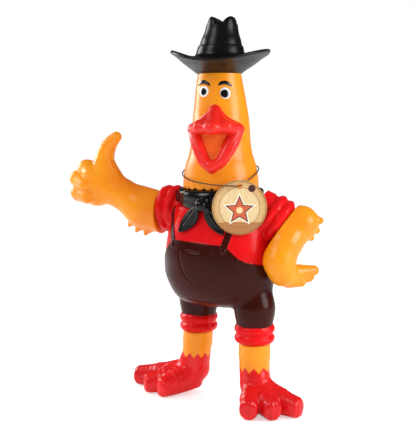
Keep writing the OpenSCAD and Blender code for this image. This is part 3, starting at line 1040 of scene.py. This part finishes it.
def hat_rows():
    """Rings from the hat's mouth out under the brim, over its lip, and up the crown."""
    # Radius, height, share of the brim's lift, and share of the brim's full reach.
    profile = [
        (15.0, HAT_Z + 1.0, 0, 0), (16.0, HAT_Z - 1.9, 0, 0), (17.4, HAT_Z - 2.0, 0, 0),
        (21, 262.0, 0.12, 0), (28, 265.4, 0.4, 0), (33, 267.8, 0.7, 0.2), (37, 269.2, 0.95, 0.9),
        (38, 269.6, 1, 1), (38.5, 270.6, 1.02, 1), (38.2, 271.7, 1.02, 1), (37, 272.1, 0.98, 0.95),
        (34, 271.9, 0.78, 0.4), (28, 271.9, 0.42, 0), (22.5, 272.4, 0.12, 0), (19.6, 273.6, 0, 0),
        (18.7, 275.4, 0, 0), (18.2, 277.6, 0, 0), (17.4, 280.4, 0, 0), (17.0, 281.1, 0, 0),
        (16.4, 281.4, 0, 0), (16.1, 282.4, 0, 0), (15.2, 285.8, 0, 0), (13.8, 289.5, 0, 0),
        (12.7, 293.5, 0, 0), (12.1, 297.0, 0, 0),
    ]
    turn = all_round(HAT_COLUMNS)
    reach_cut = 2 * np.sin(turn) ** 2
    lift = 7 * np.cos(turn) ** 2 - 0.9 - 0.9 * np.sin(turn) ** 2
    rows = []
    for r, z, lift_share, reach_share in curve_through(profile, 4):
        radius = r - reach_cut * reach_share
        rows.append(np.stack([radius * np.cos(turn), radius * np.sin(turn), z + lift * lift_share], 1))
    # The crown closes over a rounded rim into its creased top.
    for r, under in ((11.9, 3.2), (11.6, 2.0), (11.0, 1.0), (10.2, 0.35), (9.2, 0.05)):
        x, y = r * np.cos(turn), 0.97 * r * np.sin(turn)
        side_z = HAT_TOP_Z - crown_drop(x, y) - under
        rows.append(np.stack([x, y, side_z], 1))
    for r in (8.2, 7.2, 6.2, 5.2, 4.2, 3.2, 2.2, 1.2, 0.5):
        x, y = r * np.cos(turn), r * np.sin(turn)
        rows.append(np.stack([x, y, HAT_TOP_Z - crown_drop(x, y)], 1))
    return rows


def make_hat():
    """The hat, in satin black."""
    material = vinyl("hat_vinyl", BLACK, gloss=0.3, glow=0.0, shine=0.2)
    vertices, faces = revolve_rows(hat_rows())
    # It sits back over the leaning face and tips the other way.
    vertices[:, 0] += np.interp(vertices[:, 2], (HAT_Z, HAT_TOP_Z), (-1.4, 1.4))
    vertices = turn_about_z(vertices, HEAD_TURN)
    piece = make_piece("hat_skin", vertices, faces, material)
    stand_in(piece, "head", "hat")


# ---- arms


def plug_into(field, p, axis):
    """Trims an arm at its sleeve and adds the plug that turns inside it."""
    along, out, _ = axis(p)
    trimmed = both(field, SLEEVE_LEN + 0.3 - along, 0.8)
    plug = both(out - ARM_PLUG_R, np.abs(along - SLEEVE_LEN + 2) - 6)
    return join(trimmed, plug, 0.5)


def right_arm_field(p):
    """Arm held out, with a fist and a raised thumb."""
    arm = limb(p, [(-46, 0, 149.6, 17.0), (-66, -4, 154.6, 15.6), (-84, -9, 166.0, 11.6)], 4)
    arm = join(arm, bar(p, (-84, -9, 166.0), 11.6, (-99, -12, 171), 13.2), 4)
    arm = join(arm, ball(p, (-103, -12.5, 166.8), 12.0), 3)
    arm = join(arm, ball(p, (-101.5, -12, 176), 13.2), 3)
    # Curled fingers, from the palm over the knuckle to the fingertip.
    fingers = [
        [(-103, -11, 183.0, 7.5), (-111.2, -14.5, 185.0, 7.2), (-104, -22.0, 181.5, 5.4)],
        [(-103, -11, 174.8, 7.5), (-118.4, -16.5, 176.8, 6.6), (-107, -24.2, 172.6, 5.6)],
        [(-103, -11, 163.4, 7.5), (-117.6, -16.0, 165.4, 6.8), (-106, -23.2, 163.0, 5.6)],
    ]
    arm = with_limbs(arm, p, fingers, 1.6)
    thumb_bend = [
        (-98.0, -12.5, 181.0, 10.0), (-95.0, -13.5, 194.5, 7.4),
        (-91.0, -14.2, 204.0, 6.2), (-84.0, -14.5, 211.0, 4.2),
    ]
    thumb = limb(p, curve_through(thumb_bend, 5), 0)
    arm = join(arm, thumb, 3)
    arm = join(arm, bar(p, (-87.5, -10, 174.5), 8, (-94, -12.5, 186), 8), 2)
    # Ragged feathers under the forearm.
    feathers = [
        [(-68, -4.5, 149.5, 10), (-77.4, -6.5, 139.6, 1.6)],
        [(-63, -3.5, 147, 11), (-71.4, -5.2, 135.4, 1.7)],
        [(-57, -2.5, 146, 12), (-64.2, -3.6, 133.2, 1.9)],
    ]
    return plug_into(with_limbs(arm, p, feathers, 1.8), p, SLEEVES[0][0])


def left_arm_field(p):
    """Bent arm, with the hand on the hip."""
    bend = [
        (53, 2.4, 143.6, 15.2), (63.5, 4.5, 146.0, 12.0), (55.2, -8.5, 131.5, 11.6),
        (52.8, -14.8, 119.0, 10.4), (55.2, -12.0, 110.4, 10.8),
    ]
    elbow = ball(p, (66.0, 5, 147.8), 9.6)
    feathers = [
        [(65, 5, 148.4, 10), (78.6, 7.0, 148.6, 2.6)],
        [(62, 4.5, 145.0, 10), (75.8, 7.5, 140.8, 2.4)],
        [(59, 4, 142.0, 10), (71.6, 7.5, 135.0, 2.4)],
    ]
    fingers = [
        [(60.5, -5, 109.0, 7.2), (74.0, 7.0, 110.0, 3.9)],
        [(60.0, -6, 105.0, 6.4), (71.0, 4.5, 105.2, 3.9)],
        [(58.5, -9, 103.6, 5.6), (66.5, -2.5, 102.2, 3.9)],
    ]
    arm = with_limbs(join(limb(p, bend, 7), elbow, 4), p, feathers, 1.8)
    return plug_into(with_limbs(arm, p, fingers, 1.3), p, SLEEVES[1][0])


def make_arms():
    """Both arms, each sampled in its own box."""
    material = vinyl("arm_vinyl", YELLOW, gloss=0.3, glow=0.15)
    arms = (
        ("right_arm", right_arm_field, (-130, -34, 126), (-36, 22, 220)),
        ("left_arm", left_arm_field, (34, -32, 94), (84, 24, 166)),
    )
    for name, field, low, high in arms:
        vertices, quads = moulding(field, low, high)
        piece = make_piece(name + "_skin", vertices, quads, material)
        stand_in(piece, name, name)


# ---- legs

TOE_R = 6.9
# Each foot: its leg's place, the foot's turn in degrees, the side its outer toe is on, each
# toe's turn and length, how far the shin leans, and how far the heel is lifted.
FEET = {
    "right_leg": {
        "at": RIGHT_LEG_AT, "turn": -62, "side": -1, "toes": [(-25, 30), (1, 38), (28, 51)],
        "lean": (-3.2, 1.0), "lift": 4.0,
    },
    "left_leg": {
        "at": LEFT_LEG_AT, "turn": 45, "side": 1, "toes": [(-34, 27), (1, 30), (32, 37)],
        "lean": (0.0, 0.0), "lift": 0.0,
    },
}
ZIGZAG_Z = 33.4
ZIGZAG_TEETH = 9


def toe(q, way, length):
    """A tall blunt toe that runs from the ankle along way."""

    def at(share, height, r):
        return (*(way * length * share)[:2], height, r)

    top = limb(q, [at(0, 20, 10.4), at(0.62, 12.4, 8.0), at(1, 9.8, TOE_R)], 3)
    low = limb(q, [at(0.3, 7.4, 7.4), at(1, TOE_R, TOE_R)])
    reach = q @ way
    aside = q @ np.cross(way, vec((0, 0, 1)))
    field = both(join(top, low, 2), reach - length - 5.2, 3)
    # Wrinkles over the knuckle, and creases down the blunt end.
    knuckle = bump(reach - 0.72 * length, 5) * step_up(q[:, 2], 8, 14)
    field = field - 0.2 * np.sin(1.5 * reach) * knuckle
    return field + 0.22 * np.cos(1.5 * aside) * step_up(reach, length, length + 4)


def leg_field(p, foot):
    """A shin over a three-toed foot; the shin leans a little above the ankle."""
    (x, y), (lean_x, lean_y) = foot["at"], foot["lean"]
    foot_x, foot_y = x + lean_x, y + lean_y
    knee = (x + 0.4 * lean_x, y + 0.4 * lean_y, 44, 12.2)
    shin = limb(p, [(x, y, 60, 12.4), knee, (foot_x, foot_y, 27, 11.6)], 1)
    q = turn_about_z(p - vec((foot_x, foot_y, 0)), math.radians(-foot["turn"]))
    field = join(shin, bar(q, (0, -3.6, 25), 10.4, (0, -3.4, 10), 9.2), 3)
    for toe_turn, length in foot["toes"]:
        a = math.radians(toe_turn)
        way = vec((foot["side"] * math.sin(a), -math.cos(a), 0))
        field = join(field, toe(q, way, length), 2.6)
    # The sole is flat under the toes and rises towards a lifted heel.
    sole = foot["lift"] * step_up(q[:, 1], -28, 4)
    field = both(field, sole - p[:, 2], 1.6)
    field = both(field, p[:, 2] - 52.8, 1.0)
    out = np.hypot(p[:, 0] - x, p[:, 1] - y)
    return join(field, both(out - LEG_PLUG_R, np.abs(p[:, 2] - 55) - 6), 0.5)


def zigzag_mark(p, at):
    """Distance to the ragged edge where the red foot paint stops on the shin."""
    angle = np.arctan2(p[:, 0] - at[0], p[:, 1] - at[1])
    phase = ZIGZAG_TEETH * angle / (2 * np.pi) + 0.12 * np.sin(2 * angle)
    tooth = np.abs(2 * (phase - np.floor(phase)) - 1)
    return 0.6 * (p[:, 2] - ZIGZAG_Z - 4.4 * (tooth - 0.5))


def make_legs():
    """Both legs, with more room in the box on the side that each foot points to."""
    material = vinyl("leg_vinyl", YELLOW, [("painted", RED)], gloss=0.28, glow=0.12)
    for name, foot in FEET.items():
        x, y = foot["at"]
        low_room, high_room = (70, 30) if foot["side"] < 0 else (30, 60)
        low, high = (x - low_room, y - 60, -2), (x + high_room, y + 30, 63)
        vertices, quads = moulding(lambda p: leg_field(p, foot), low, high)
        marks = {"painted": zigzag_mark(vertices, foot["at"])}
        piece = make_piece(name + "_skin", vertices, quads, material, marks)
        stand_in(piece, name, name)


# ---- hang tag


def tag_point(u, v, w):
    """From the tag's own millimetres, across, up and out from its hole's back, to the figure's."""
    c, s = math.cos(TAG_FACING), math.sin(TAG_FACING)
    hole_x = TAG_PLANE * s + TAG_SIDE * c
    hole_y = -TAG_PLANE * c + TAG_SIDE * s
    return np.stack([hole_x + u * c + w * s, hole_y + u * s - w * c, TAG_HOLE_Z + v], -1)


STAR_V = -2.0  # how far the star's middle is up from the card's
STAR_OUTER = 10.5
STAR_INNER = 4.7


def tag_material():
    """Printed card: a parchment disc with ruled rings, a plain star and a round spot."""
    shader = Shader("tag_print")
    u, v, w = shader.mark("tag_u"), shader.mark("tag_v"), shader.mark("tag_w")

    def plus(a, b):
        return shader.math("ADD", a, b)

    def minus(a, b):
        return shader.math("SUBTRACT", a, b)

    def times(a, b):
        return shader.math("MULTIPLY", a, b)

    def radius(at_u, at_v):
        du, dv = minus(u, at_u), minus(v, at_v)
        return shader.math("SQRT", plus(times(du, du), times(dv, dv)))

    def ruled_ring(size, half_width):
        return minus(shader.math("ABSOLUTE", minus(rim, size)), half_width)

    def star(grow):
        """Distance to the edge of the five-pointed star, made larger by grow."""
        fifth = 2 * math.pi / 5
        angle = shader.math("ARCTAN2", u, minus(v, STAR_V))
        turn = shader.math("FLOORED_MODULO", plus(angle, fifth / 2), fifth)
        folded = shader.math("ABSOLUTE", minus(turn, fifth / 2))
        r = radius(0.0, STAR_V)
        along = times(r, shader.math("COSINE", folded))
        across = times(r, shader.math("SINE", folded))
        dx = STAR_INNER * math.cos(fifth / 2) - STAR_OUTER
        dy = STAR_INNER * math.sin(fifth / 2)
        size = math.hypot(dx, dy)
        line = times(minus(along, STAR_OUTER), dy / size)
        return minus(minus(line, times(across, dx / size)), grow)

    rim = radius(0.0, 0.0)
    grain = shader.noise(260, 4, 0.6, (6, 6, 1))
    paper = shader.tone(grain, tones("EFD9A8", "E2BF85"))
    edge = shader.tone(grain, tones("D6A868", "C08F52"))
    card = shader.mix(shader.math("MULTIPLY_ADD", rim, 0.16, -2.1, clamp=True), paper, edge)
    # What is printed over the paper in turn: the distance to each shape's edge, and its ink.
    prints = (
        (minus(plus(v, 12.5), times(shader.noise(90, 2), 3.0)), "B67A43"),
        (ruled_ring(TAG_R - 0.7, 0.22), "7A4A22"),
        (ruled_ring(15.2, 0.25), "A5622E"),
        (star(1.0), "FBF4E2"),
        (star(0.3), "4A2413"),
        (star(-0.4), "D2603A"),
        (minus(radius(0.0, STAR_V), 2.4), "F4D9A0"),
        (minus(radius(9.1, 14.2), 2.7), "4D0F12"),
    )
    for distance, ink in prints:
        card = shader.mix(shader.within(distance), card, colour(ink))
    back = shader.tone(grain, tones("D9C4A0", "CDB58C"))
    front = shader.within(minus(0.75, w))
    shader.set(
        Base_Color=shader.mix(front, back, card),
        Roughness=shader.ramp(grain, 0.42, 0.55),
        Coat_Weight=0.15,
        Coat_Roughness=0.3,
    )
    shader.relief(grain, 0.00004)
    return shader.material


def make_tag():
    """A round card with a punched hole; its edges are slightly eased."""
    turn = all_round(128)
    cos, sin = np.cos(turn), np.sin(turn)
    # From the hole's centre out to the card's edge, whose centre is TAG_DROP below.
    reach = -TAG_DROP * sin + np.sqrt(TAG_R ** 2 - (TAG_DROP * cos) ** 2)
    ease = 0.2
    rings = [(0.0, TAG_T - ease, 0), (0.0, TAG_T, ease)]
    rings += [(share, TAG_T, 0) for share in (0.25, 0.5, 0.75)]
    rings += [(1.0, TAG_T, -ease), (1.0, TAG_T - ease, 0), (1.0, ease, 0), (1.0, 0.0, -ease)]
    rings += [(share, 0.0, 0) for share in (0.75, 0.5, 0.25)]
    rings += [(0.0, 0.0, ease), (0.0, ease, 0)]
    rows = []
    for share, height, inset in rings:
        out = TAG_HOLE_R + (reach - TAG_HOLE_R) * share + inset
        rows.append(np.stack([out * cos, out * sin, np.full(len(turn), height)], 1))
    u, v, w = np.concatenate(rows).T
    faces = [face[::-1] for face in grid_faces(len(rows), len(turn), closed=True)]
    marks = {"tag_u": u, "tag_v": v + TAG_DROP, "tag_w": w}
    piece = make_piece("hang_tag_card", tag_point(u, v, w), faces, tag_material(), marks)
    piece.data.polygons.foreach_set("use_smooth", np.zeros(len(faces), bool))
    stand_in(piece, "tag", "hang_tag")


# ---- cord


def make_cord():
    """The tag's elastic loop and its knot, in twisted thread, with painted shade in the twist's
    grooves.
    """
    shader = Shader("cord_thread")
    twist = shader.add("TexWave", wave_type="BANDS", bands_direction="DIAGONAL")
    twist.inputs["Scale"].default_value = 900
    shader.plug(shader.add("TexCoord").outputs["Object"], twist.inputs["Vector"])
    strands_and_groove_shade = twist.outputs["Fac"]
    # The thread's colour runs dark in the twist's grooves and light on its strands: painted shade in
    # the grooves.
    shader.set(
        Base_Color=shader.mix(strands_and_groove_shade, colour("4A3426"), colour("745840")),
        Roughness=shader.ramp(strands_and_groove_shade, 0.55, 0.8),
    )
    shader.relief(strands_and_groove_shade, 0.00015)
    route = curve_through(CORD_ROUTE, 8, closed=True)
    vertices, faces = tube(route, CORD_D / 2)
    cord = make_piece("tag_cord_loop", vertices, faces, shader.material)
    stand_in(cord, "torso", "tag_cord")
    # An overhand knot, drawn tight.
    x, y, z = KNOT_AT
    turn = all_round(60)
    knot_path = np.stack([
        x + 0.55 * (np.sin(turn) + 1.3 * np.sin(2 * turn)),
        y - 0.2 + 0.5 * np.sin(3 * turn),
        z + 0.45 * (np.cos(turn) - 1.3 * np.cos(2 * turn)),
    ], 1)
    vertices, faces = tube(knot_path, 0.42, 10)
    knot = make_piece("tag_cord_knot_loops", vertices, faces, shader.material)
    stand_in(knot, "torso", "tag_cord_knot")


# ---- squawker


def finish_squawker():
    """The squawker keeps its CAD shapes, with the finish of moulded plastic and of rolled brass."""
    plastic = Shader("squawker_plastic")
    plastic.set(
        Base_Color=plastic.tone(plastic.noise(120, 3), tones("F1EDE0", "E2DCCB")),
        Roughness=plastic.ramp(plastic.noise(500, 2), 0.3, 0.42),
        Subsurface_Weight=0.1,
        Subsurface_Scale=0.001,
    )
    plastic.relief(plastic.noise(1500, 2), 0.00003)
    brass = Shader("reed_brass")
    rolled = brass.noise(300, 3, 0.6, (1, 12, 1))
    brass.set(
        Base_Color=brass.mix(rolled, colour("D9B25A"), colour("B98E3B")),
        Metallic=1.0,
        Roughness=brass.ramp(rolled, 0.25, 0.42),
    )
    brass.relief(rolled, 0.00002)
    for node, shader in (
        ("squawker_housing", plastic), ("squawker_reed_seat", plastic),
        ("squawker_cap", plastic), ("squawker_reed", brass),
    ):
        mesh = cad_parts[node].data
        if not mesh.materials:
            mesh.materials.append(shader.material)
        for k in range(len(mesh.materials)):
            mesh.materials[k] = shader.material


# ---- studio

FLOOR_SIZE = 60.0  # metres
# Each lamp's name, place, size and power, in metres and watts.
LAMPS = (
    ("key", (-0.55, -0.75, 0.95), 0.45, 3.5),
    ("right", (0.95, -0.05, 0.45), 0.5, 6),
    ("left", (-0.95, 0.15, 0.45), 0.5, 6),
)
LAMP_AIM = (0, 0, 0.16)


def by_ray(tree, kind, otherwise, then):
    """An output that is `then` for rays of that kind and `otherwise` for all others."""
    seen = tree.nodes.new("ShaderNodeLightPath")
    share = tree.nodes.new("ShaderNodeMapRange")
    share.inputs["To Min"].default_value = otherwise
    share.inputs["To Max"].default_value = then
    tree.links.new(seen.outputs[kind], share.inputs["Value"])
    return share.outputs[0]


def make_studio():
    """Pale floor, white surroundings and large soft lights."""
    half = FLOOR_SIZE / 2
    corners = [(-half, -half, 0), (half, -half, 0), (half, half, 0), (-half, half, 0)]
    mesh = bpy.data.meshes.new("floor")
    mesh.from_pydata(corners, [], [(0, 1, 2, 3)])
    floor = bpy.data.objects.new("floor", mesh)
    bpy.context.scene.collection.objects.link(floor)
    shader = Shader("floor_paper")
    # The floor is white to look at, and throws little light up at the toy.
    shader.set(
        Base_Color=shader.mix(shader.noise(40, 3), (0.92, 0.92, 0.92, 1), (0.89, 0.89, 0.89, 1)),
        Roughness=0.9,
        Emission_Color=(1, 1, 1, 1),
        Emission_Strength=by_ray(shader.tree, "Is Camera Ray", 0.1, 0.5),
    )
    mesh.materials.append(shader.material)

    world = bpy.data.worlds.new("studio")
    world.use_nodes = True
    bpy.context.scene.world = world
    tree = world.node_tree
    background = tree.nodes["Background"]
    background.inputs[0].default_value = (1, 1, 1, 1)
    # The backdrop is white to look at, softer as a light, and softer still in reflections.
    power = tree.nodes.new("ShaderNodeMath")
    power.operation = "MULTIPLY"
    tree.links.new(by_ray(tree, "Is Camera Ray", 0.62, 1.0), power.inputs[0])
    tree.links.new(by_ray(tree, "Is Glossy Ray", 1.0, 0.12), power.inputs[1])
    tree.links.new(power.outputs[0], background.inputs[1])

    for name, place, size, watts in LAMPS:
        light = bpy.data.lights.new(name, "AREA")
        light.size = size
        light.energy = watts
        lamp = bpy.data.objects.new(name, light)
        lamp.location = place
        aim = Vector(LAMP_AIM) - lamp.location
        lamp.rotation_euler = aim.to_track_quat("-Z", "Y").to_euler()
        bpy.context.scene.collection.objects.link(lamp)
    bpy.context.scene.view_settings.view_transform = "Standard"


make_camera()
make_cord()
make_torso()
make_neckerchief()
make_head()
make_face()
make_hat()
make_arms()
make_legs()
make_tag()
finish_squawker()
make_studio()
